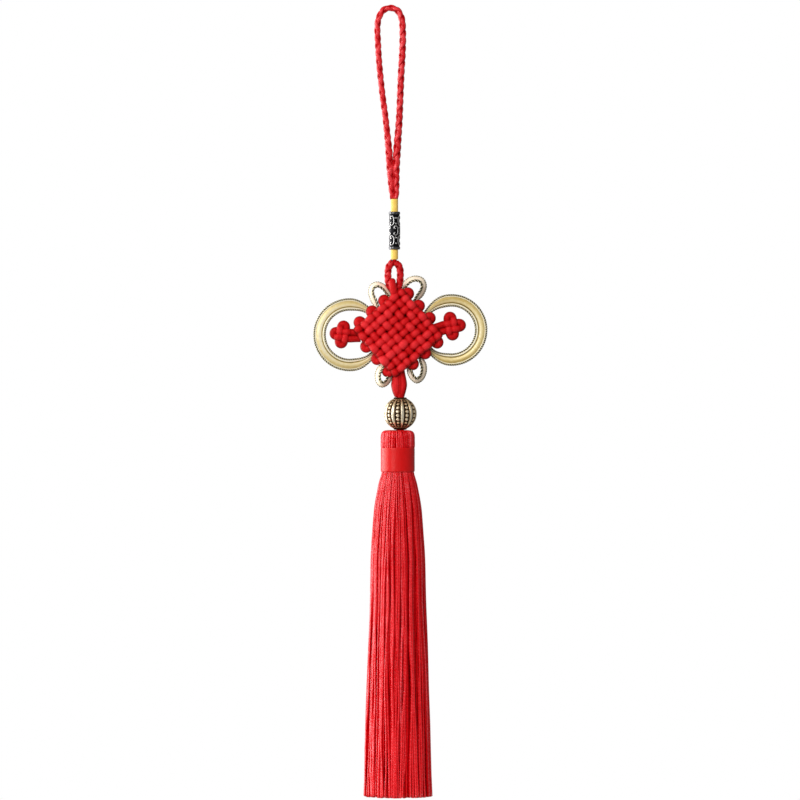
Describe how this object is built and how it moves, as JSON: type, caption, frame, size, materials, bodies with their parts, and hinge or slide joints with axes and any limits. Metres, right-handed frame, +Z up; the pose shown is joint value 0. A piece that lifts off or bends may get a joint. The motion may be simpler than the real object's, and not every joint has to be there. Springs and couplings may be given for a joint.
{
  "type": "beaded tassel pendant",
  "caption": "Hanging pendant: braided cord loop, tube bead, woven endless knot with gold tape loops, ribbed metal bead and a long silky tassel.",
  "frame": {"origin": "under the crown of the hanging loop, where a hook would carry the pendant", "axes": "+Z up along the hanging pendant, -Y out of its front face, +X to the right seen from the front"},
  "size_m": [0.0771, 0.0311, 0.3502],
  "materials": {
    "red_cord": "satin braided cord",
    "red_tassel": "glossy fine thread",
    "gold_thread": "satin wound thread",
    "gold_tape": "metallic woven tape with corded edges",
    "dark_silver": "antique silver, darkened in the hollows",
    "antique_gold": "antique pale gold, darkened in the columns"
  },
  "bodies": {
    "root": {"hanger_cord": "red_cord", "neck_sleeve": "gold_thread", "tube_bead": "dark_silver", "knot_body": "red_cord", "gold_ring_left": "gold_tape", "gold_ring_right": "gold_tape", "gold_loop_upper_left": "gold_tape", "gold_loop_upper_right": "gold_tape", "gold_loop_lower_left": "gold_tape", "gold_loop_lower_right": "gold_tape", "round_bead": "antique_gold", "tassel": "red_tassel", "tassel_binding": "red_tassel"}
  },
  "joints": []
}
